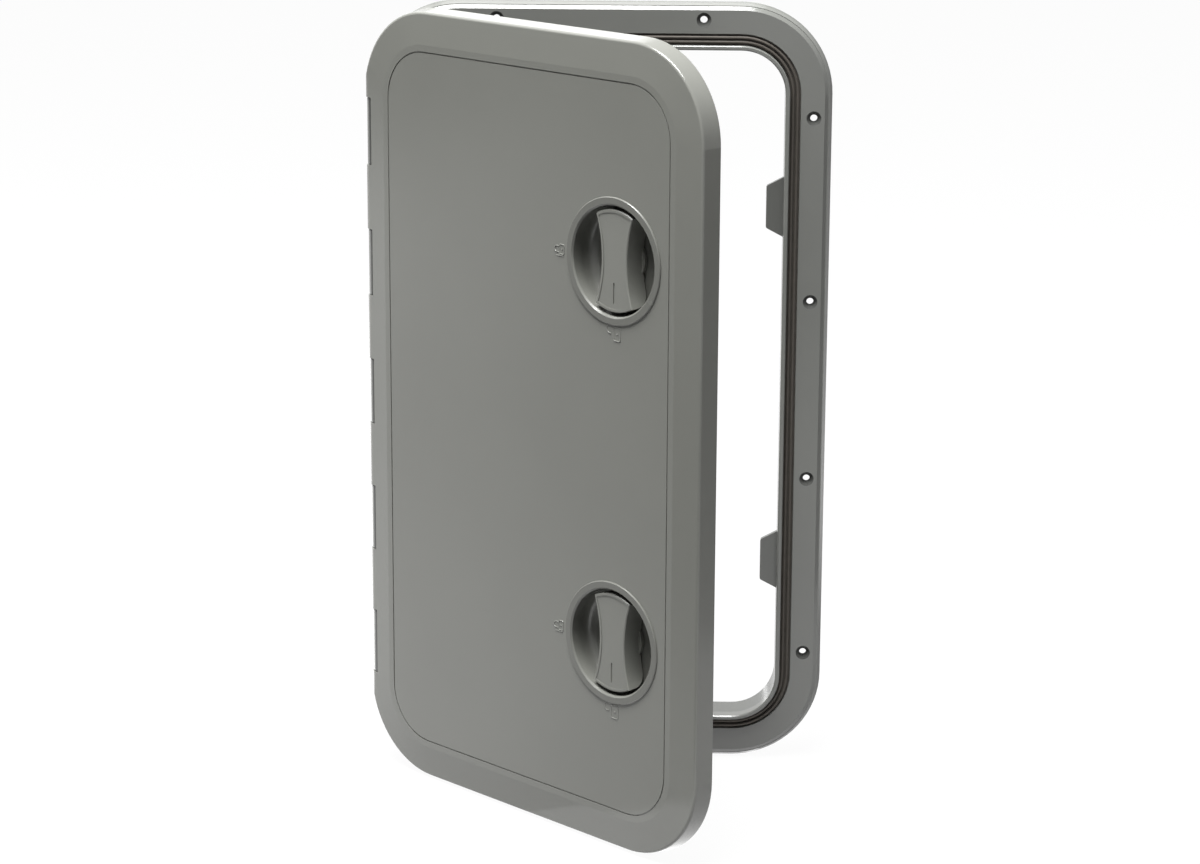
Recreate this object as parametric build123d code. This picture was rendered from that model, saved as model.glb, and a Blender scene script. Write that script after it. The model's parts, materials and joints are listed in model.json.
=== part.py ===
from build123d import *
import math
import os

# Deck hatch with a hinged lid and two quarter-turn latches.
# All sizes are in millimetres. The pieces are modelled with the hatch lying on
# its deck: X across the hatch, Y along it, and Z as height above the deck.
# They are stood up at the end, so that the long side points along +Z, the front
# faces -Y, and the origin is the centre of the mounting plane.

# Outline of frame and lid
outline_width = 355.0
outline_length = 605.0
corner_radius = 70.0

# Frame: flange, seal gutter, rim and spigot, as insets from the outline
flange_height = 7.0
flange_edge_height = 0.8
edge_slope_width = 2.6
edge_slope_height = 4.1
edge_ledge_width = 0.6
edge_bevel_width = 2.7
gutter_inset = 24.2
gutter_width = 8.3
gutter_floor_height = 2.5
gutter_edge_bevel = 0.5
rim_height = 4.8
rim_outer_bevel = 0.6
rim_inner_bevel = 0.9
spigot_wall = 3.4
spigot_depth = 22.6
spigot_step_height = 4.0
spigot_step = 0.3
spigot_end_chamfer = 0.8
core_inset = 6.5
core_outer_width = 15.5
core_depth = 4.0
core_rib_thickness = 1.8
core_ribs_long_side = 8
core_ribs_short_side = 3

# Screw holes in the flange
screw_inset = 14.0
screw_side_spacing_inner = 142.0
screw_side_spacing_outer = 428.6
screw_end_spacing = 157.4
screw_end_inset = 13.5
screw_hole_radius = 2.8
screw_head_radius = 5.6
screw_boss_width = 14.8

# Strike tabs that the latches lock behind
tab_reach = 13.2
tab_root_length = 47.0
tab_tip_length = 33.0
tab_thickness = 4.0
tab_front_depth = 10.0
tab_corner_radius = 2.0

# Seal in the gutter
seal_side_clearance = 0.1
seal_base_thickness = 2.6
seal_lip_width = 2.1
seal_lip_gap = 1.3
seal_lip_height = 2.5
seal_lip_bevel = 0.7

# Hinge
hinge_inset = 8.0
hinge_height = 15.8
hinge_pitch = 102.0
knuckle_count = 5
knuckle_radius = 7.5
notch_length = 52.0
knuckle_end_clearance = 0.75
knuckle_pocket_clearance = 0.5
notch_reach = 2.2
hinge_pocket_wall = 2.0
hinge_spine_drop = 7.3
hinge_edge_radius = 8.2
rod_radius = 2.5
rod_press_clearance = 0.02
rod_running_clearance = 0.06
rod_plug_length = 5.5
spine_end_wall = 4.0
lid_rest_angle = 43.0

# Lid
lid_rise = 18.5
lid_clearance = 0.5
lid_wall = 3.6
lid_skirt_draft = 2.0
lid_lip_height = 1.1
lid_lip_step = 0.4
lid_edge_radius = 2.1
lid_border_width = 21.8
lid_border_fall = 2.0
lid_inner_bevel = 1.6
groove_inset = 30.9
groove_width = 1.0
groove_depth = 0.8
lid_panel_drop = 0.1
press_rib_width = 2.6
press_rib_clearance = 0.3
press_rib_bevel = 0.6
lid_rib_thickness = 1.8
lid_rib_depth = 8.0
lid_rib_columns = (-105.0, -55.0, -5.0)
lid_rib_rows = (-214.0, -71.0, 71.0, 214.0)
lid_rib_margin = 1.0

# Latches
latch_x = 91.9
latch_y = 142.4
cup_radius = 40.2
cup_wall = 2.6
cup_draft = 0.5
cup_ring_width = 6.3
cup_ring_height = 1.2
cup_floor_height = 7.3
cup_floor_wall = 2.5
cup_bowl_radius = 9.5
cup_hole_clearance = 0.2
cup_boss_radius = 12.5
cup_boss_end = -13.4
cup_gusset_count = 4
cup_gusset_thickness = 2.0
cup_gusset_reach = 31.0
cup_lug_count = 4
cup_lug_length = 12.0
cup_lug_height = 3.0
cup_lug_reach = 1.0
grip_end_gap = 2.8
grip_floor_gap = 1.4
grip_end_width = 36.0
grip_waist_width = 25.0
grip_top_drop = 0.3
grip_draft = 1.2
grip_edge_bevel = 0.7
grip_border_width = 2.4
grip_border_height = 0.4
grip_mark_length = 15.0
grip_mark_width = 1.5
grip_mark_depth = 0.6
grip_mark_end_gap = 4.0
thrust_washer_radius = 15.0
thrust_washer_thickness = 0.8
turntable_radius = 16.5
turntable_thickness = 2.4
shaft_radius = 8.0
shaft_running_clearance = 0.06
shaft_square = 10.0
square_clearance = 0.05
seal_ring_height = -4.0
seal_ring_thickness = 1.5
seal_ring_groove_height = 2.2
wave_washer_radius = 11.5
wave_washer_thickness = 0.8
cam_clearance = 0.5
cam_thickness = 5.0
cam_hub_radius = 11.5
cam_arm_width = 14.0
cam_length = 45.0
cam_ramp_length = 12.0
cam_ramp_depth = 1.6
square_end_gap = 0.2
flat_washer_radius = 9.0
flat_washer_thickness = 1.5
screw_radius = 3.0
screw_clearance = 0.05
screw_length = 16.0
screw_hole_extra_depth = 2.0
screw_top_radius = 5.6
screw_top_height = 3.4
screw_top_bevel = 1.1
screw_drive_width = 1.4
screw_drive_length = 6.4
screw_drive_depth = 1.8

# Places worked out from the sizes above
half_width = outline_width / 2
half_length = outline_length / 2
hinge_x = -half_width + hinge_inset
rim_inset = gutter_inset + gutter_width
opening_inset = rim_inset + spigot_wall
rim_top = flange_height + rim_height
lid_face = flange_height + lid_rise
lid_bottom = flange_height + lid_clearance
lid_inner_face = lid_face - lid_wall
lid_panel_face = lid_face - lid_panel_drop
seal_centre_inset = gutter_inset + gutter_width / 2
seal_base_top = gutter_floor_height + seal_base_thickness
seal_top = seal_base_top + seal_lip_height
pocket_radius = knuckle_radius + knuckle_pocket_clearance
knuckle_length = notch_length - 2 * knuckle_end_clearance
cam_front = -tab_front_depth - tab_thickness - cam_clearance
cam_back = cam_front - cam_thickness
cup_outer_radius = cup_radius + cup_wall
grip_radius = cup_radius - grip_end_gap
grip_top = lid_face - grip_top_drop
cup_ring_top = lid_panel_face + cup_ring_height
knuckle_places = [(i - (knuckle_count - 1) / 2) * hinge_pitch for i in range(knuckle_count)]
rod_half_length = knuckle_places[-1] + knuckle_length / 2 - rod_plug_length


# Shared shapes

def section(points, rounds=()):
    """A closed outline of (inset, height) points, with some corners rounded."""
    face = make_face(Polyline(*points, close=True))
    for corner, radius in rounds:
        vertex = face.vertices().sort_by_distance(Vector(corner[0], corner[1], 0))[0]
        face = fillet(vertex, radius)
    return face


def ring(profile):
    """Carry a section round the rounded outline: straight sides and turned corners."""
    side_run = half_length - corner_radius
    end_run = half_width - corner_radius
    side_plane = Plane(origin=(half_width, 0, 0), x_dir=(-1, 0, 0), z_dir=(0, 1, 0))
    turn_plane = side_plane.offset(side_run)
    end_plane = Plane(origin=(0, half_length, 0), x_dir=(0, -1, 0), z_dir=(-1, 0, 0)).offset(-end_run)
    corner_axis = Axis((end_run, side_run, 0), (0, 0, 1))
    quarter = extrude(side_plane * profile, amount=side_run)
    quarter += revolve(turn_plane * profile, axis=corner_axis, revolution_arc=90)
    quarter += extrude(end_plane * profile, amount=end_run)
    half = quarter + mirror(quarter, about=Plane.YZ)
    return half + mirror(half, about=Plane.XZ)


def plate(inset, low, high):
    """A rounded plate that follows the outline at an inset."""
    face = RectangleRounded(outline_width - 2 * inset, outline_length - 2 * inset, corner_radius - inset)
    return extrude(Pos(0, 0, low) * face, amount=high - low)


def rod(radius, low, high, place=(0, 0)):
    """An upright round bar between two heights."""
    return Pos(place[0], place[1], (low + high) / 2) * Cylinder(radius, high - low)


def tube(outer, inner, low, high, place=(0, 0)):
    """An upright tube between two heights."""
    return rod(outer, low, high, place) - rod(inner, low, high, place)


def hinge_bar(radius, low, high):
    """A round bar on the hinge axis, between two places along the hatch."""
    return Pos(hinge_x, (low + high) / 2, hinge_height) * Rot(90, 0, 0) * Cylinder(radius, high - low)


def block(low, high):
    """A box between two corners."""
    size = [b - a for a, b in zip(low, high)]
    centre = [(a + b) / 2 for a, b in zip(low, high)]
    return Pos(*centre) * Box(*size)


def turned(points, place, rounds=()):
    """A solid of revolution about an upright axis, from (radius, height) points."""
    profile = Plane.XZ * section(points, rounds)
    return Pos(place[0], place[1], 0) * revolve(profile, axis=Axis.Z)


# Frame

def screw_places():
    """Centres of the twelve flange screws."""
    side_x = half_width - screw_inset
    end_y = half_length - screw_end_inset
    side = [(side_x, s / 2) for s in (screw_side_spacing_inner, screw_side_spacing_outer)]
    places = side + [(screw_end_spacing / 2, end_y)]
    return [(sx * x, sy * y) for x, y in places for sx in (-1, 1) for sy in (-1, 1)]


def frame_section():
    slope_top = flange_edge_height + edge_slope_height
    ledge = edge_slope_width + edge_ledge_width
    return section([
        (0, 0),
        (0, flange_edge_height),
        (edge_slope_width, slope_top),
        (ledge, slope_top),
        (ledge + edge_bevel_width, flange_height),
        (gutter_inset - gutter_edge_bevel, flange_height),
        (gutter_inset, flange_height - gutter_edge_bevel),
        (gutter_inset, gutter_floor_height),
        (rim_inset, gutter_floor_height),
        (rim_inset, rim_top - rim_outer_bevel),
        (rim_inset + rim_outer_bevel, rim_top),
        (opening_inset - rim_inner_bevel, rim_top),
        (opening_inset, rim_top - rim_inner_bevel),
        (opening_inset, spigot_step_height),
        (opening_inset - spigot_step, spigot_step_height - spigot_step),
        (opening_inset - spigot_step, -spigot_depth),
        (rim_inset + spigot_end_chamfer, -spigot_depth),
        (rim_inset, -spigot_depth + spigot_end_chamfer),
        (rim_inset, 0),
    ])


def flange_cores():
    """Hollows under the flange, left between screw bosses and cross ribs."""
    low = core_inset
    high = core_inset + core_outer_width
    cores = ring(section([(low, -1), (low, core_depth), (high, core_depth), (high, -1)]))
    boss = screw_boss_width / 2
    cutters = [block((x - boss, y - boss, -2), (x + boss, y + boss, core_depth + 1)) for x, y in screw_places()]
    for i in range(core_ribs_long_side):
        y = (i - (core_ribs_long_side - 1) / 2) * (outline_length - 2 * corner_radius) / core_ribs_long_side
        cutters.append(block((-half_width, y - core_rib_thickness / 2, -2),
                             (half_width, y + core_rib_thickness / 2, core_depth + 1)))
    for i in range(core_ribs_short_side):
        x = (i - (core_ribs_short_side - 1) / 2) * (outline_width - 2 * corner_radius) / core_ribs_short_side
        cutters.append(block((x - core_rib_thickness / 2, -half_length, -2),
                             (x + core_rib_thickness / 2, half_length, core_depth + 1)))
    return cores - cutters


def knuckle(place):
    """One frame knuckle: a barrel on a foot that grows out of the flange."""
    low = place - knuckle_length / 2
    high = place + knuckle_length / 2
    foot = block((hinge_x - knuckle_radius, low, flange_edge_height / 2),
                 (hinge_x + knuckle_radius, high, hinge_height))
    return hinge_bar(knuckle_radius, low, high) + foot


def strike_tab(side):
    """A tapered tab on the latch side of the opening."""
    wall_x = half_width - opening_inset + spigot_step
    tip_x = wall_x - tab_reach
    outline = Polyline(
        (wall_x + 1, tab_root_length / 2),
        (wall_x, tab_root_length / 2),
        (tip_x, tab_tip_length / 2),
        (tip_x, -tab_tip_length / 2),
        (wall_x, -tab_root_length / 2),
        (wall_x + 1, -tab_root_length / 2),
        close=True,
    )
    face = make_face(outline)
    tips = face.vertices().group_by(Axis.X)[0]
    face = fillet(tips, tab_corner_radius)
    back = -tab_front_depth - tab_thickness
    return extrude(Pos(0, side * latch_y, back) * face, amount=tab_thickness)


def make_frame():
    body = ring(frame_section()) - flange_cores()
    body += [knuckle(place) for place in knuckle_places]
    body += [strike_tab(side) for side in (-1, 1)]
    bore = hinge_bar(rod_radius + rod_press_clearance, -half_length, half_length)
    body -= bore
    sink = screw_head_radius - screw_hole_radius
    for place in screw_places():
        body -= rod(screw_hole_radius, -1, flange_height + 1, place)
        head = Cone(screw_hole_radius, screw_head_radius, sink)
        body -= Pos(place[0], place[1], flange_height - sink / 2) * head
    return body


def make_frame_seal():
    """Soft profile in the gutter: a base with two lips."""
    low = gutter_inset + seal_side_clearance
    high = rim_inset - seal_side_clearance
    gap = seal_lip_gap / 2
    lip_a = seal_centre_inset - gap - seal_lip_width
    lip_b = seal_centre_inset - gap
    lip_c = seal_centre_inset + gap
    lip_d = seal_centre_inset + gap + seal_lip_width
    bevel = seal_lip_bevel
    return ring(section([
        (low, gutter_floor_height),
        (low, seal_base_top),
        (lip_a, seal_base_top),
        (lip_a, seal_top - bevel),
        (lip_a + bevel, seal_top),
        (lip_b - bevel, seal_top),
        (lip_b, seal_top - bevel),
        (lip_b, seal_base_top),
        (lip_c, seal_base_top),
        (lip_c, seal_top - bevel),
        (lip_c + bevel, seal_top),
        (lip_d - bevel, seal_top),
        (lip_d, seal_top - bevel),
        (lip_d, seal_base_top),
        (high, seal_base_top),
        (high, gutter_floor_height),
    ]))


def make_hinge_rod():
    return hinge_bar(rod_radius, -rod_half_length, rod_half_length)


def make_hinge_rod_plugs():
    """Two plugs that close the rod's bore at its ends."""
    upper = hinge_bar(rod_radius, rod_half_length, rod_half_length + rod_plug_length)
    lower = hinge_bar(rod_radius, -rod_half_length - rod_plug_length, -rod_half_length)
    return [upper, lower]


# Lid, closed

def lid_profile(hollow):
    """Half of the lid's section: the outer skin alone, or with the hollow beneath."""
    skirt_top = lid_face - lid_border_fall
    border_edge = lid_skirt_draft
    border_end = lid_skirt_draft + lid_edge_radius + lid_border_width
    groove_end = groove_inset + groove_width
    plate_edge = groove_end + 2
    outer = [
        (lid_lip_step, lid_bottom),
        (lid_lip_step, lid_bottom + lid_lip_height),
        (0, lid_bottom + lid_lip_height),
        (border_edge, skirt_top),
        (border_end, lid_face),
        (groove_inset, lid_face),
        (groove_inset, lid_face - groove_depth),
        (groove_end, lid_face - groove_depth),
        (groove_end, lid_panel_face),
        (plate_edge, lid_panel_face),
    ]
    rounds = [((border_edge, skirt_top), lid_edge_radius)]
    if hollow:
        inner = [
            (plate_edge, lid_inner_face),
            (border_end, lid_inner_face),
            (border_edge + lid_wall + lid_inner_bevel, lid_inner_face - lid_border_fall),
            (border_edge + lid_wall, lid_inner_face - lid_border_fall - lid_inner_bevel),
            (lid_wall, lid_bottom),
        ]
    else:
        inner = [(plate_edge, lid_bottom)]
    return section(outer + inner, rounds=rounds)


def hinge_spine():
    """Solid edge of the lid that holds its barrels and the pockets for the knuckles."""
    end = knuckle_places[-1] + notch_length / 2 + spine_end_wall
    return block((-half_width - 1, -end, hinge_height - hinge_spine_drop),
                 (hinge_x + pocket_radius + hinge_pocket_wall, end, lid_inner_face + 1))


def knuckle_pocket(place):
    """Room for a frame knuckle and its foot, open to the lid's edge and face."""
    low = place - notch_length / 2
    high = place + notch_length / 2
    outside = -half_width - 2
    pocket = hinge_bar(pocket_radius, low, high)
    pocket += block((outside, low, 0), (hinge_x + pocket_radius, high, hinge_height))
    pocket += block((outside, low, hinge_height - 1), (hinge_x + notch_reach, high, lid_face + 2))
    return pocket


def hinge_edge_trim():
    """What is taken off the lid's hinge edge to round it about the hinge, so that it swings over the flange."""
    edge = block((-half_width - 2, -half_length, 0), (hinge_x, half_length, lid_face + 2))
    return edge - hinge_bar(hinge_edge_radius, -half_length - 1, half_length + 1)


def lid_ribs():
    """Stiffening grid under the panel, clear of the latch cups."""
    low = lid_inner_face - lid_rib_depth
    high = lid_inner_face + 0.5
    inset = seal_centre_inset + press_rib_width / 2 - 0.5
    edge_x = half_width - inset
    edge_y = half_length - inset
    half = lid_rib_thickness / 2
    bars = [block((x - half, -edge_y, low), (x + half, edge_y, high)) for x in lid_rib_columns]
    bars += [block((-edge_x, y - half, low), (edge_x, y + half, high)) for y in lid_rib_rows]
    grid = Part() + bars
    room = cup_outer_radius + cup_lug_reach + lid_rib_margin
    grid -= [rod(room, low - 1, high + 1, (latch_x, side * latch_y)) for side in (-1, 1)]
    return grid & plate(inset, low - 1, high)


def press_rib():
    """Rib that bears on the frame's seal when the lid is shut."""
    low = seal_top + press_rib_clearance
    left = seal_centre_inset - press_rib_width / 2
    right = seal_centre_inset + press_rib_width / 2
    top = lid_inner_face + 0.5
    bevel = press_rib_bevel
    return ring(section([
        (left, low + bevel),
        (left, top),
        (right, top),
        (right, low + bevel),
        (right - bevel, low),
        (left + bevel, low),
    ]))


def make_lid():
    panel_inset = groove_inset + groove_width + 1
    skin = ring(lid_profile(hollow=True)) + plate(panel_inset, lid_inner_face, lid_panel_face)
    full = ring(lid_profile(hollow=False)) + plate(panel_inset, lid_bottom, lid_panel_face)
    body = skin + (hinge_spine() & full)
    body += press_rib()
    body += lid_ribs()
    body -= hinge_edge_trim()
    body -= [knuckle_pocket(place) for place in knuckle_places]
    body -= hinge_bar(rod_radius + rod_running_clearance, -half_length, half_length)
    hole = cup_outer_radius + cup_hole_clearance
    body -= [rod(hole, 0, lid_face + 1, (latch_x, side * latch_y)) for side in (-1, 1)]
    return body


# Latches, with the lid closed and the latch open

def bowl(offset_wall, offset_floor, top, place=(0, 0)):
    """Room in the cup up to a height, moved in from its wall and floor."""
    floor = cup_floor_height + offset_floor
    corner = (cup_radius - cup_draft - offset_wall, floor)
    outline = [(0, floor), corner, (cup_radius - offset_wall, top), (0, top)]
    return turned(outline, place, rounds=[(corner, cup_bowl_radius)])


def make_latch_cup(place):
    """Round recess that carries the latch: ring, bowl, boss and snap lugs."""
    ring_outer = cup_radius + cup_ring_width
    under = cup_floor_height - cup_floor_wall
    outside = turned([
        (0, cup_boss_end),
        (cup_boss_radius, cup_boss_end),
        (cup_boss_radius, under),
        (cup_outer_radius - cup_bowl_radius, under),
        (cup_outer_radius - 2, under + cup_bowl_radius / 2),
        (cup_outer_radius, under + cup_bowl_radius),
        (cup_outer_radius, lid_panel_face),
        (ring_outer, lid_panel_face),
        (ring_outer, lid_panel_face + cup_ring_height / 2),
        (ring_outer - cup_ring_height / 2, cup_ring_top),
        (0, cup_ring_top),
    ], place)
    body = outside - bowl(0, 0, lid_panel_face, place)
    mouth_round = cup_ring_height
    body -= turned([
        (0, lid_panel_face),
        (cup_radius, lid_panel_face),
        (cup_radius + mouth_round, cup_ring_top),
        (0, cup_ring_top),
    ], place)
    gusset = block((0, -cup_gusset_thickness / 2, cup_boss_end + 6),
                   (cup_gusset_reach, cup_gusset_thickness / 2, under + 0.5))
    slope = Plane.XZ * make_face(Polyline(
        (cup_boss_radius + 1, cup_boss_end + 5),
        (cup_gusset_reach + 1, cup_boss_end + 5),
        (cup_gusset_reach + 1, under - 1),
        close=True,
    ))
    gusset -= extrude(slope, amount=cup_gusset_thickness, both=True)
    for i in range(cup_gusset_count):
        body += Pos(place[0], place[1], 0) * Rot(0, 0, (i + 0.5) * 360 / cup_gusset_count) * gusset
    lug = block((cup_outer_radius - 1, -cup_lug_length / 2, lid_inner_face - cup_lug_height),
                (cup_outer_radius + cup_lug_reach, cup_lug_length / 2, lid_inner_face))
    for i in range(cup_lug_count):
        body += Pos(place[0], place[1], 0) * Rot(0, 0, (i + 0.5) * 360 / cup_lug_count) * lug
    body -= rod(shaft_radius + shaft_running_clearance, cup_boss_end - 1, cup_floor_height + 1, place)
    return body


def grip_outline(inset):
    """Plan of the grip: ends on a circle, sides drawn in to a waist."""
    radius = grip_radius - inset
    end_half = grip_end_width / 2 - inset
    waist_half = grip_waist_width / 2 - inset
    end_y = math.sqrt(radius ** 2 - end_half ** 2)
    right = ThreePointArc((end_half, -end_y), (waist_half, 0), (end_half, end_y))
    top = ThreePointArc((end_half, end_y), (0, radius), (-end_half, end_y))
    left = ThreePointArc((-end_half, end_y), (-waist_half, 0), (-end_half, -end_y))
    bottom = ThreePointArc((-end_half, -end_y), (0, -radius), (end_half, -end_y))
    return make_face([right, top, left, bottom])


def make_latch_knob(place):
    """Grip bar on a turntable, with the shaft that carries the cam."""
    washer_top = cup_floor_height + thrust_washer_thickness
    shoulder = grip_top - grip_edge_bevel
    foot = Pos(0, 0, cup_floor_height) * grip_outline(-grip_draft)
    brow = Pos(0, 0, shoulder) * grip_outline(0)
    crown = Pos(0, 0, grip_top) * grip_outline(grip_edge_bevel)
    bar = loft([foot, brow], ruled=True) + loft([brow, crown], ruled=True)
    bar &= bowl(grip_end_gap, grip_floor_gap, grip_top)
    panel = extrude(Pos(0, 0, grip_top - grip_border_height) * grip_outline(grip_border_width), amount=1)
    mark_end = -grip_radius + grip_border_width + grip_mark_end_gap
    mark = block((-grip_mark_width / 2, mark_end, grip_top - grip_border_height - grip_mark_depth),
                 (grip_mark_width / 2, mark_end + grip_mark_length, grip_top))
    body = bar - panel - mark
    body += rod(turntable_radius, washer_top, washer_top + turntable_thickness)
    body += rod(shaft_radius, cam_front, washer_top + 1)
    half = shaft_square / 2
    body += block((-half, -half, cam_back + square_end_gap), (half, half, cam_front + 1))
    groove_low = seal_ring_height - seal_ring_groove_height / 2
    groove_high = seal_ring_height + seal_ring_groove_height / 2
    body -= tube(shaft_radius + 1, shaft_radius - seal_ring_thickness - 0.05, groove_low, groove_high)
    hole_top = cam_back + screw_length + screw_hole_extra_depth
    body -= rod(screw_radius + screw_clearance, cam_back - 1, hole_top)
    return Pos(place[0], place[1], 0) * body


def make_thrust_washer(place):
    low = cup_floor_height
    inner = shaft_radius + 2 * shaft_running_clearance
    return tube(thrust_washer_radius, inner, low, low + thrust_washer_thickness, place)


def make_shaft_seal(place):
    """Rubber ring in the groove of the shaft."""
    minor = seal_ring_thickness / 2
    sides = 8
    points = []
    for i in range(sides):
        turn = math.radians((i + 0.5) * 360 / sides)
        points.append((shaft_radius - minor + minor * math.cos(turn), seal_ring_height + minor * math.sin(turn)))
    return turned(points, place)


def make_wave_washer(place):
    inner = shaft_radius + 2 * shaft_running_clearance
    return tube(wave_washer_radius, inner, cam_front, cam_front + wave_washer_thickness, place)


def make_cam(place):
    """Locking arm that turns behind a strike tab, with a lead-in ramp."""
    arm = block((-cam_arm_width / 2, 0, cam_back), (cam_arm_width / 2, cam_length - cam_arm_width / 2, cam_front))
    arm += rod(cam_arm_width / 2, cam_back, cam_front, (0, cam_length - cam_arm_width / 2))
    body = rod(cam_hub_radius, cam_back, cam_front) + arm
    ramp = Plane.XZ * make_face(Polyline(
        (cam_arm_width / 2 - 4, cam_front + 1),
        (cam_arm_width / 2 - 4, cam_front),
        (cam_arm_width / 2 + 1, cam_front - cam_ramp_depth),
        (cam_arm_width / 2 + 1, cam_front + 1),
        close=True,
    ))
    body -= Pos(0, cam_length + 1, 0) * extrude(ramp, amount=cam_ramp_length + 1)
    half = shaft_square / 2 + square_clearance
    body -= block((-half, -half, cam_back - 1), (half, half, cam_front + 1))
    return Pos(place[0], place[1], 0) * body


def make_flat_washer(place):
    inner = screw_radius + 4 * screw_clearance
    return tube(flat_washer_radius, inner, cam_back - flat_washer_thickness, cam_back, place)


def make_cam_screw(place):
    """Pan head screw that holds the cam on the shaft."""
    seat = cam_back - flat_washer_thickness
    body = rod(screw_radius, seat - 1, cam_back + screw_length)
    head = rod(screw_top_radius, seat - screw_top_height, seat)
    rim = head.edges().group_by(Axis.Z)[0]
    head = chamfer(rim, screw_top_bevel)
    body += head
    low = seat - screw_top_height - 1
    high = seat - screw_top_height + screw_drive_depth
    long = screw_drive_length / 2
    thin = screw_drive_width / 2
    body -= block((-long, -thin, low), (long, thin, high))
    body -= block((-thin, -long, low), (thin, long, high))
    return Pos(place[0], place[1], 0) * body


# Assembly: open the lid to its rest angle, then stand the hatch up

def opened(shape):
    """Swing a piece of the lid about the hinge to the rest angle."""
    return shape.rotate(Axis((hinge_x, 0, hinge_height), (0, -1, 0)), lid_rest_angle)


def standing(shape):
    return shape.rotate(Axis.X, 90)


def build_nodes():
    nodes = {
        "frame": make_frame(),
        "frame_seal": make_frame_seal(),
        "hinge_rod": make_hinge_rod(),
        "hinge_rod_plugs": Compound(children=make_hinge_rod_plugs()),
    }
    moving = {"lid": make_lid()}
    for name, side in (("upper", 1), ("lower", -1)):
        place = (latch_x, side * latch_y)
        moving[f"latch_cup_{name}"] = make_latch_cup(place)
        moving[f"latch_knob_{name}"] = make_latch_knob(place)
        moving[f"latch_thrust_washer_{name}"] = make_thrust_washer(place)
        moving[f"latch_shaft_seal_{name}"] = make_shaft_seal(place)
        moving[f"latch_wave_washer_{name}"] = make_wave_washer(place)
        moving[f"latch_cam_{name}"] = make_cam(place)
        moving[f"latch_flat_washer_{name}"] = make_flat_washer(place)
        moving[f"latch_cam_screw_{name}"] = make_cam_screw(place)
    nodes.update({name: opened(shape) for name, shape in moving.items()})
    return {name: standing(shape) for name, shape in nodes.items()}


os.makedirs("parts", exist_ok=True)
for node, shape in build_nodes().items():
    export_step(shape, f"parts/{node}.step")
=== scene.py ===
import json
import math

import bpy
from mathutils import Matrix, Vector


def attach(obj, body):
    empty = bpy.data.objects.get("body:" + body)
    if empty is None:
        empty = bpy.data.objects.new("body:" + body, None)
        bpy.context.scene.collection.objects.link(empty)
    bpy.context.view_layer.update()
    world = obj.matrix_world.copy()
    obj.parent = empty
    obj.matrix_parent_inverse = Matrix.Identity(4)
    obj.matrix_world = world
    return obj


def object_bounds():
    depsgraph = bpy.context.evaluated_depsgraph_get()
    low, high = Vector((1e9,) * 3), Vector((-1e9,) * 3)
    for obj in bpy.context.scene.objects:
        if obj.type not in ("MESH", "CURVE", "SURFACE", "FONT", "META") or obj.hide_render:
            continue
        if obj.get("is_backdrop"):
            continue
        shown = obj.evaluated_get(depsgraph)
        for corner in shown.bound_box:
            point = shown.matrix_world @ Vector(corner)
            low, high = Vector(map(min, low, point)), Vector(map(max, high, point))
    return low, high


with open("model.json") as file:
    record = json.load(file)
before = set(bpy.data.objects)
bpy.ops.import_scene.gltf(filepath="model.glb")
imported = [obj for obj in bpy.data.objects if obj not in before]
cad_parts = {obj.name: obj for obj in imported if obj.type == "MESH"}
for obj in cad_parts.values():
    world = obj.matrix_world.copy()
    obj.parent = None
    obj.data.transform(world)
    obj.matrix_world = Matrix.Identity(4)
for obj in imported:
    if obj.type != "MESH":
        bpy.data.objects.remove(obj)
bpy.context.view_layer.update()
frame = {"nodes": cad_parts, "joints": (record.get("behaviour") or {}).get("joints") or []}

# Camera, fitted to the photograph: metres, degrees and the photograph's pixels
PHOTO_WIDTH = 1200
CAMERA_PLACE = (0.0599, -2.4198, 0.6074)
CAMERA_PAN = 1.3933
CAMERA_TILT = -13.8221
CAMERA_ROLL = -0.2897
FOCAL_LENGTH_PX = 3190.9
LENS_SHIFT_PX = -60
SENSOR_WIDTH_MM = 36

# The shut lid in metres: across from the middle, along, and height above the deck
LATCH_ACROSS = 0.0919
LATCH_ALONG = 0.1424
LID_PANEL_HEIGHT = 0.0254
MARK_LINE_RADIUS = 0.00042


# Node helpers

class Nodes:
    """A node tree that starts empty, with short calls to add and join nodes."""

    def __init__(self, tree, output):
        self.tree = tree
        self.tree.nodes.clear()
        self.output = self.tree.nodes.new(output)

    def node(self, kind, **inputs):
        made = self.tree.nodes.new(kind)
        for name, value in inputs.items():
            made.inputs[name.replace("_", " ")].default_value = value
        return made

    def join(self, source, target):
        self.tree.links.new(source, target)

    def combine(self, operation, first, second):
        """A math node's result, from sockets or numbers."""
        made = self.node("ShaderNodeMath")
        made.operation = operation
        for place, value in enumerate((first, second)):
            if isinstance(value, float):
                made.inputs[place].default_value = value
            else:
                self.join(value, made.inputs[place])
        return made.outputs[0]

    def blend(self, share, first, second):
        """Mix two shaders and join the result to the output."""
        made = self.node("ShaderNodeMixShader")
        self.join(share, made.inputs["Fac"])
        self.join(first.outputs[0], made.inputs[1])
        self.join(second.outputs[0], made.inputs[2])
        self.join(made.outputs[0], self.output.inputs["Surface"])

    def seen_directly(self):
        """1 for camera, glossy and transmission rays, 0 for the rays that light the object."""
        path = self.node("ShaderNodeLightPath")
        total = path.outputs["Is Camera Ray"]
        for other in ("Is Glossy Ray", "Is Transmission Ray"):
            total = self.combine("MAXIMUM", total, path.outputs[other])
        return total


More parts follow.
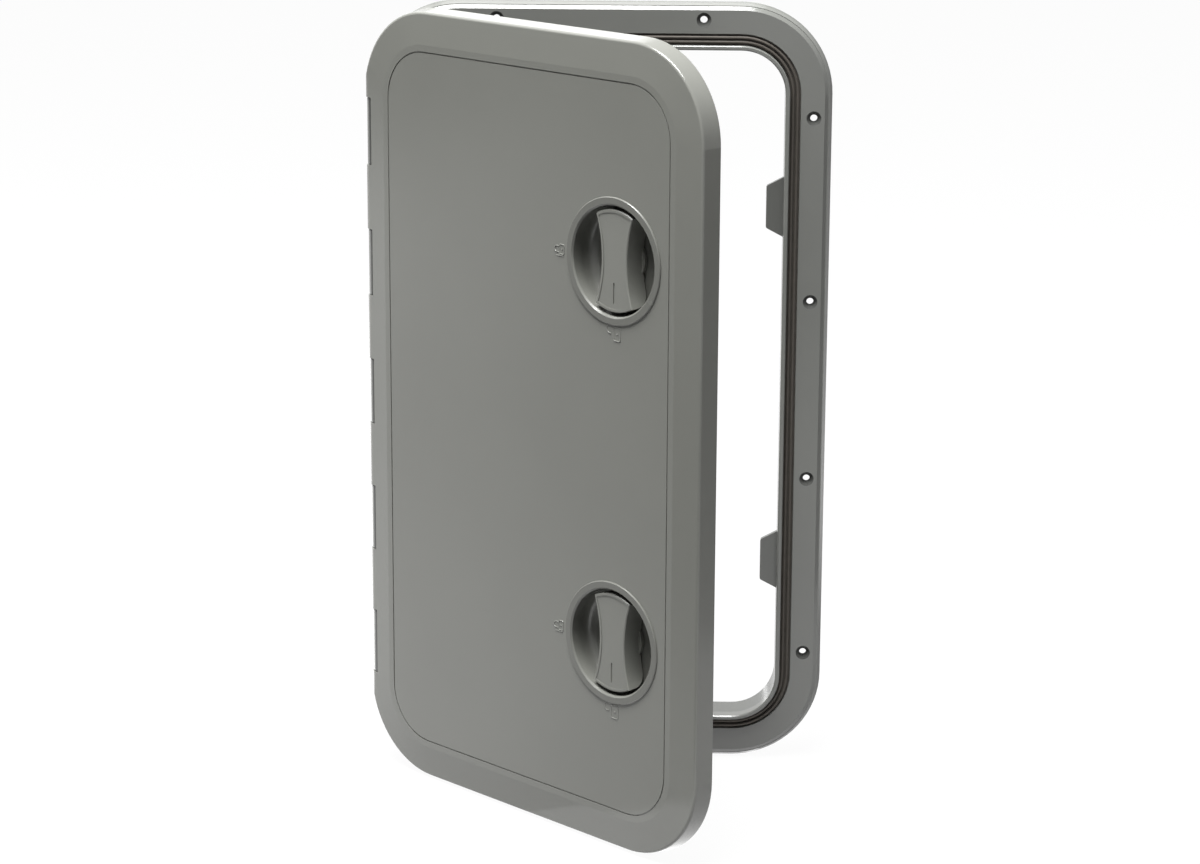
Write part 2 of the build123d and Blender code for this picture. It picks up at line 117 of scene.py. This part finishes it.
class Shading(Nodes):
    """A new material's nodes."""

    def __init__(self, name):
        self.material = bpy.data.materials.new(name)
        self.material.use_nodes = True
        super().__init__(self.material.node_tree, "ShaderNodeOutputMaterial")

    def finish(self, shader):
        self.join(shader.outputs[0], self.output.inputs["Surface"])
        return self.material

    def place(self, scale=(1, 1, 1)):
        """Object coordinates in metres."""
        coordinates = self.node("ShaderNodeTexCoord")
        mapping = self.node("ShaderNodeMapping", Scale=scale)
        self.join(coordinates.outputs["Object"], mapping.inputs["Vector"])
        return mapping.outputs["Vector"]

    def noise(self, scale, detail=3.0, stretch=(1, 1, 1)):
        made = self.node("ShaderNodeTexNoise", Scale=scale, Detail=detail, Roughness=0.5)
        self.join(self.place(stretch), made.inputs["Vector"])
        return made.outputs["Fac"]

    def spread(self, value, low, high):
        """Map a 0 to 1 value to a range."""
        made = self.node("ShaderNodeMapRange", To_Min=low, To_Max=high)
        self.join(value, made.inputs["Value"])
        return made.outputs["Result"]

    def edge(self, value, start, full):
        """0 up to start and 1 from full on."""
        made = self.node("ShaderNodeMapRange", From_Min=start, From_Max=full)
        self.join(value, made.inputs["Value"])
        return made.outputs["Result"]

    def steps(self, value, low, high, stops):
        """Grey levels given at places between low and high, for a 0 to 1 value."""
        ramp = self.node("ShaderNodeValToRGB")
        colours = ramp.color_ramp.elements
        while len(colours) < len(stops):
            colours.new(0.5)
        for colour, (place, _) in zip(colours, stops):
            colour.position = (place - low) / (high - low)
        for colour, (_, level) in zip(colours, stops):
            colour.color = (level, level, level, 1)
        self.join(value, ramp.inputs["Fac"])
        return ramp.outputs["Color"]

    def mix(self, value, first, second):
        """A colour between two, each a colour or a socket."""
        made = self.node("ShaderNodeMix")
        made.data_type = "RGBA"
        for socket, colour in (("A", first), ("B", second)):
            if isinstance(colour, tuple):
                made.inputs[socket].default_value = (*colour, 1)
            else:
                self.join(colour, made.inputs[socket])
        self.join(value, made.inputs["Factor"])
        return made.outputs["Result"]

    def zone(self, share, edges):
        """A share inside a region and 0 outside.

        Each edge is an axis, where the region starts and where it is full, in metres.
        """
        parts = self.node("ShaderNodeSeparateXYZ")
        self.join(self.place(), parts.inputs[0])
        for axis, start, full in edges:
            share = self.combine("MULTIPLY", self.edge(parts.outputs[axis], start, full), share)
        return share

    def near(self, places, reach):
        """1 within reach of places (across, along) on the frame's face and their mirror images, 0 elsewhere."""
        folded = self.node("ShaderNodeVectorMath")
        folded.operation = "ABSOLUTE"
        self.join(self.place(scale=(1, 0, 1)), folded.inputs[0])
        nearest = None
        for across, along in places:
            gap = self.node("ShaderNodeVectorMath")
            gap.operation = "DISTANCE"
            gap.inputs[1].default_value = (across, 0, along)
            self.join(folded.outputs["Vector"], gap.inputs[0])
            gap = gap.outputs["Value"]
            nearest = gap if nearest is None else self.combine("MINIMUM", nearest, gap)
        return self.edge(nearest, reach, reach - HOLE_EDGE_BLUR)

    def bump(self, height, distance, strength, after=None):
        made = self.node("ShaderNodeBump", Strength=strength, Distance=distance)
        self.join(height, made.inputs["Height"])
        if after is not None:
            self.join(after, made.inputs["Normal"])
        return made.outputs["Normal"]


# Materials

LID_GREY = (0.18, 0.183, 0.166)
FRAME_GREY = (0.178, 0.182, 0.17)
# Darker than the lid grey, as painted shade for the cup's deep bowl
CUP_GREY = (0.135, 0.137, 0.124)
NYLON_BLACK = (0.018, 0.018, 0.018)
ACETAL_WHITE = (0.72, 0.72, 0.68)
SEAL_BROWN = (0.043, 0.037, 0.03)
STEEL_DARK = (0.52, 0.52, 0.5)
STEEL_PALE = (0.64, 0.64, 0.62)
PLASTIC_IOR = 1.49
RUBBER_IOR = 1.5
GRAIN_DEPTH = 0.00004
# Share of the colour kept where shade is painted on the frame
PAINTED_SHADE_LEVEL = 0.3

# Dull places on the frame, darkened with painted shade: behind the flange, the knuckles inside the lid's
# pockets, the screw holes
BEHIND_FLANGE = (0.45, (("Y", -0.003, 0.0005),))
IN_POCKETS = (0.9, (("Y", -0.009, -0.0105), ("X", -0.160, -0.162), ("X", -0.1757, -0.1749)))
SCREW_HOLES = ((0.1635, 0.2143), (0.1635, 0.071), (0.0787, 0.289))
HOLE_REACH = 0.0058
HOLE_EDGE_BLUR = 0.0003


def moulded_plastic(name, colour, gloss, tint=0.05, painted_shade_zones=(), holes=()):
    """Moulded plastic: fine grain, faint cloudiness in colour and gloss, and painted shade in given zones and
    near given holes.
    """
    s = Shading(name)
    shader = s.node("ShaderNodeBsdfPrincipled", IOR=PLASTIC_IOR, Specular_IOR_Level=0.5)
    pale = tuple(min(1, c * (1 + tint)) for c in colour)
    dark = tuple(c * (1 - tint) for c in colour)
    painted_dark = tuple(c * PAINTED_SHADE_LEVEL for c in colour)
    shade = s.mix(s.noise(9.0, detail=4.0), dark, pale)
    # Painted shade: the colour darkens inside each zone
    for share, edges in painted_shade_zones:
        shade = s.mix(s.zone(share, edges), shade, painted_dark)
    rough = s.spread(s.noise(60.0, detail=5.0), gloss - 0.04, gloss + 0.05)
    # Painted shade in the screw holes' countersinks, where the roughness is also raised
    if holes:
        inside = s.near(holes, HOLE_REACH)
        shade = s.mix(inside, shade, painted_dark)
        rough = s.combine("MAXIMUM", rough, inside)
    s.join(shade, shader.inputs["Base Color"])
    s.join(rough, shader.inputs["Roughness"])
    wave = s.bump(s.noise(38.0, detail=2.0), distance=0.00006, strength=0.35)
    grain = s.bump(s.noise(2600.0, detail=2.0), distance=GRAIN_DEPTH, strength=0.5, after=wave)
    s.join(grain, shader.inputs["Normal"])
    return s.finish(shader)


def rubber(name, colour):
    """Extruded rubber: matt, with faint lines and dusty bloom."""
    s = Shading(name)
    shader = s.node("ShaderNodeBsdfPrincipled", IOR=RUBBER_IOR)
    bloomed = tuple(c * 1.5 + 0.004 for c in colour)
    s.join(s.mix(s.noise(140.0, detail=6.0), colour, bloomed), shader.inputs["Base Color"])
    s.join(s.spread(s.noise(300.0), 0.62, 0.8), shader.inputs["Roughness"])
    s.join(s.bump(s.noise(1500.0), distance=0.00005, strength=0.6), shader.inputs["Normal"])
    return s.finish(shader)


def steel(name):
    """Stainless steel with fine turned or drawn lines."""
    s = Shading(name)
    shader = s.node("ShaderNodeBsdfPrincipled", Metallic=1.0)
    s.join(s.mix(s.noise(45.0), STEEL_DARK, STEEL_PALE), shader.inputs["Base Color"])
    s.join(s.spread(s.noise(900.0, stretch=(1, 1, 0.05)), 0.22, 0.4), shader.inputs["Roughness"])
    lines = s.noise(2500.0, stretch=(1, 1, 0.03))
    s.join(s.bump(lines, distance=0.00002, strength=0.4), shader.inputs["Normal"])
    return s.finish(shader)


lid_plastic = moulded_plastic("lid_plastic", LID_GREY, gloss=0.15)
cup_plastic = moulded_plastic("cup_plastic", CUP_GREY, gloss=0.25)
# The frame carries painted shade behind the flange, on the knuckles in the lid's pockets and in the screw holes
frame_plastic = moulded_plastic("frame_plastic", FRAME_GREY, gloss=0.15,
                                painted_shade_zones=(BEHIND_FLANGE, IN_POCKETS), holes=SCREW_HOLES)
grip_plastic = moulded_plastic("grip_plastic", LID_GREY, gloss=0.38)
dark_nylon = moulded_plastic("dark_nylon", NYLON_BLACK, gloss=0.4, tint=0.2)
white_acetal = moulded_plastic("white_acetal", ACETAL_WHITE, gloss=0.35)
seal_rubber = rubber("seal_rubber", SEAL_BROWN)
stainless = steel("stainless")

# The first word that is part of a node's name gives its material
MATERIAL_BY_WORD = (
    ("frame_seal", seal_rubber), ("shaft_seal", seal_rubber), ("hinge_rod_plugs", dark_nylon),
    ("hinge_rod", stainless), ("thrust", white_acetal), ("washer", stainless), ("cam_screw", stainless),
    ("latch_cam", dark_nylon), ("latch_knob", grip_plastic), ("latch_cup", cup_plastic),
    ("lid", lid_plastic), ("frame", frame_plastic),
)


def dress():
    """Give each CAD node its material."""
    for name, obj in frame["nodes"].items():
        obj.data.materials.clear()
        obj.data.materials.append(next(made for word, made in MATERIAL_BY_WORD if word in name))


# Marks beside the latches

LOCKED_MARK_ACROSS, LOCKED_MARK_ALONG, LOCKED_MARK_SCALE = -0.0562, 0.001, 0.85
UNLOCKED_MARK_ACROSS, UNLOCKED_MARK_ALONG, UNLOCKED_MARK_SCALE = -0.002, -0.0527, 1.2

# Padlock sign in millimetres
CORNER_RADIUS = 1
CORNER_ACROSS = 3.2
CORNER_TOP, CORNER_FOOT = -3.2, -6.8
SHACKLE_RADIUS = 2.6
SHACKLE_HEIGHT = 1.0
SHACKLE_END, SHACKLE_LIFTED_END = -2.2, -0.2
KEYHOLE = [(0, -4.4), (0, -6.0)]
LOCKED_BAR = [(-5.6, 1.5), (-5.6, -7.0)]


def lid_place():
    """Turns shut-lid measures (across, along, height) into the row's frame at rest."""
    hinge = next(j for j in frame["joints"] if j["name"] == "lid_hinge")
    pivot = Vector(hinge["pos_m"])
    opened = math.radians(-hinge["range_deg"][0])
    standing = Matrix(((1, 0, 0, 0), (0, 0, -1, 0), (0, 1, 0, 0), (0, 0, 0, 1)))
    swing = Matrix.Rotation(opened, 4, Vector(hinge["axis"]))
    return Matrix.Translation(pivot) @ swing @ Matrix.Translation(-pivot) @ standing


def arc(centre, radius, start, end, steps):
    """Points of an arc between two turns in degrees."""
    turns = [math.radians(start + (end - start) * i / steps) for i in range(steps + 1)]
    return [(centre[0] + radius * math.cos(t), centre[1] + radius * math.sin(t)) for t in turns]


def raised_lines(name, lines, centre, scale):
    """Thin raised lines on the lid's face, from flat outlines in millimetres that lie on their side."""
    data = bpy.data.curves.new(name, "CURVE")
    data.dimensions = "3D"
    data.bevel_depth = MARK_LINE_RADIUS
    data.bevel_resolution = 2
    data.use_fill_caps = True
    for points, closed in lines:
        spline = data.splines.new("POLY")
        spline.points.add(len(points) - 1)
        spline.use_cyclic_u = closed
        for target, (x, y) in zip(spline.points, points):
            target.co = (-y * scale / 1000, x * scale / 1000, 0, 1)
    obj = bpy.data.objects.new(name, data)
    bpy.context.collection.objects.link(obj)
    obj.matrix_world = lid_place() @ Matrix.Translation((*centre, LID_PANEL_HEIGHT))
    data.materials.append(lid_plastic)
    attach(obj, "lid")


def padlock(opened):
    """A plain padlock sign: a body with rounded corners, a keyhole and a shackle."""
    corners = ((CORNER_ACROSS, CORNER_TOP, 0), (-CORNER_ACROSS, CORNER_TOP, 90),
               (-CORNER_ACROSS, CORNER_FOOT, 180), (CORNER_ACROSS, CORNER_FOOT, 270))
    body = [point for x, y, start in corners for point in arc((x, y), CORNER_RADIUS, start, start + 90, 4)]
    shift = SHACKLE_RADIUS if opened else 0
    foot = SHACKLE_LIFTED_END if opened else SHACKLE_END
    shackle = [(shift - SHACKLE_RADIUS, foot)]
    shackle += arc((shift, SHACKLE_HEIGHT), SHACKLE_RADIUS, 180, 0, 10)
    shackle += [(shift + SHACKLE_RADIUS, SHACKLE_END)]
    lines = [(body, True), (shackle, False), (KEYHOLE, False)]
    if not opened:
        lines.append((LOCKED_BAR, False))
    return lines


def make_marks():
    for name, sign in (("upper", 1), ("lower", -1)):
        along = sign * LATCH_ALONG
        raised_lines(f"locked_mark_{name}", padlock(False),
                     (LATCH_ACROSS + LOCKED_MARK_ACROSS, along + LOCKED_MARK_ALONG), LOCKED_MARK_SCALE)
        raised_lines(f"unlocked_mark_{name}", padlock(True),
                     (LATCH_ACROSS + UNLOCKED_MARK_ACROSS, along + UNLOCKED_MARK_ALONG), UNLOCKED_MARK_SCALE)


# Floor, light and camera

FLOOR_WHITE = (0.8, 0.8, 0.8)
FLOOR_BOUNCE = (0.18, 0.18, 0.18)
FLOOR_SIZE = 16
FLOOR_GAP = 0.0005
FLOOR_GLOW_SHARE = 0.96
WORLD_LIGHT = 0.05
CARD_LIFT = 0.002
CARD_LEAST_GLOW = 0.05


def make_floor():
    """White floor that keeps the object's shadow and throws little light back up."""
    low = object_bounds()[0].z
    bpy.ops.mesh.primitive_plane_add(size=FLOOR_SIZE, location=(0, 0, low - FLOOR_GAP))
    floor = bpy.context.object
    floor.name = "floor"
    s = Shading("floor")
    seen = s.seen_directly()
    matt = s.node("ShaderNodeBsdfDiffuse")
    s.join(s.mix(seen, FLOOR_BOUNCE, FLOOR_WHITE), matt.inputs["Color"])
    white = s.node("ShaderNodeEmission", Strength=1.0)
    s.blend(s.combine("MULTIPLY", seen, FLOOR_GLOW_SHARE), matt, white)
    floor.data.materials.append(s.material)
    floor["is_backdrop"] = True


def make_world():
    """White where it is seen, dim as a light."""
    world = bpy.data.worlds.new("studio")
    bpy.context.scene.world = world
    world.use_nodes = True
    sky = Nodes(world.node_tree, "ShaderNodeOutputWorld")
    dim = sky.node("ShaderNodeBackground", Color=(1, 1, 1, 1), Strength=WORLD_LIGHT)
    white = sky.node("ShaderNodeBackground", Color=(1, 1, 1, 1))
    sky.blend(sky.seen_directly(), dim, white)


def mirrored_only(obj, name):
    """Name a stage piece that only glossy faces mirror."""
    obj.name = name
    obj.visible_camera = False
    obj.visible_shadow = False
    obj.visible_diffuse = False
    obj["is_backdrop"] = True


def softbox(name, place, aim, size, power):
    """Rectangular lamp at a place, turned to an aim, with its power in watts."""
    data = bpy.data.lights.new(name, "AREA")
    data.shape = "RECTANGLE"
    data.size, data.size_y = size
    data.energy = power
    lamp = bpy.data.objects.new(name, data)
    bpy.context.collection.objects.link(lamp)
    lamp.location = place
    lamp.visible_camera = False
    lamp.rotation_mode = "QUATERNION"
    lamp.rotation_quaternion = (Vector(aim) - Vector(place)).to_track_quat("-Z", "Y")


def floor_card(name, span_x, span_y, stops_x, stops_y, strength):
    """Glowing card on the floor, with its brightness given at places along X and Y."""
    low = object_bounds()[0].z
    middle = (sum(span_x) / 2, sum(span_y) / 2, low + CARD_LIFT)
    bpy.ops.mesh.primitive_plane_add(size=1, location=middle)
    card = bpy.context.object
    card.scale = (span_x[1] - span_x[0], span_y[1] - span_y[0], 1)
    s = Shading(name)
    coordinates = s.node("ShaderNodeTexCoord")
    parts = s.node("ShaderNodeSeparateXYZ")
    s.join(coordinates.outputs["Generated"], parts.inputs[0])
    along_x = s.steps(parts.outputs["X"], *span_x, stops_x)
    along_y = s.steps(parts.outputs["Y"], *span_y, stops_y)
    level = s.combine("MULTIPLY", along_x, along_y)
    glow = s.node("ShaderNodeEmission")
    s.join(s.spread(level, CARD_LEAST_GLOW, strength), glow.inputs["Strength"])
    card.data.materials.append(s.finish(glow))
    mirrored_only(card, name)


def dark_flag(name, place, size):
    """Black cloth that stands across X."""
    bpy.ops.mesh.primitive_plane_add(size=1, location=place, rotation=(0, math.radians(90), 0))
    flag = bpy.context.object
    flag.scale = (*size, 1)
    s = Shading(name)
    cloth = s.node("ShaderNodeBsdfDiffuse", Color=(0.01, 0.01, 0.01, 1))
    flag.data.materials.append(s.finish(cloth))
    mirrored_only(flag, name)


def make_lights():
    softbox("top", (-0.6, -0.85, 3.4), (0, -0.1, 0), (2.4, 1.8), 394)
    softbox("strip", (0, 0.45, 2.4), (0, 0, 0.3), (1.6, 0.5), 12)
    softbox("rear", (0, 2.4, 1.25), (0, 0, 0.3), (3.6, 0.7), 9.5)
    softbox("rear_left", (-1.8, 1.1, 2.4), (0, -0.1, 0.2), (1.2, 1.2), 10)
    floor_card("left_card", (-6, -0.05), (-1.5, 1.5),
               ((-3.3, 0.05), (-2.7, 0.5), (-1.2, 0.5), (-0.3, 0.75)), ((-0.45, 0.02), (0.15, 1.0)), 4)
    floor_card("front_card", (-0.05, 0.6), (-3, 0),
               ((-0.04, 1), (0.5, 1)), ((-1.5, 0.1), (-0.2, 1.0)), 2.2)
    dark_flag("dark_flag", (-5, -1.2, 0.55), (1.7, 4.4))
    floor_card("right_card", (0.2, 4), (-1, 1.5),
               ((0.4, 1), (1.2, 0.5), (2, 0.3)), ((0.15, 0.25), (0.35, 1)), 4)


def make_camera():
    data = bpy.data.cameras.new("camera")
    data.sensor_width = SENSOR_WIDTH_MM
    data.lens = FOCAL_LENGTH_PX / PHOTO_WIDTH * SENSOR_WIDTH_MM
    data.shift_y = LENS_SHIFT_PX / PHOTO_WIDTH
    data.clip_end = 100
    camera = bpy.data.objects.new("camera", data)
    bpy.context.collection.objects.link(camera)
    turn = Matrix.Rotation(math.radians(CAMERA_PAN), 4, "Z")
    turn @= Matrix.Rotation(math.radians(CAMERA_TILT), 4, "X")
    turn @= Matrix.Rotation(math.radians(CAMERA_ROLL), 4, "Y")
    turn @= Matrix.Rotation(math.radians(90), 4, "X")
    camera.matrix_world = Matrix.Translation(CAMERA_PLACE) @ turn
    bpy.context.scene.camera = camera


dress()
make_marks()
make_floor()
make_world()
make_lights()
make_camera()
bpy.context.scene.view_settings.view_transform = "Standard"
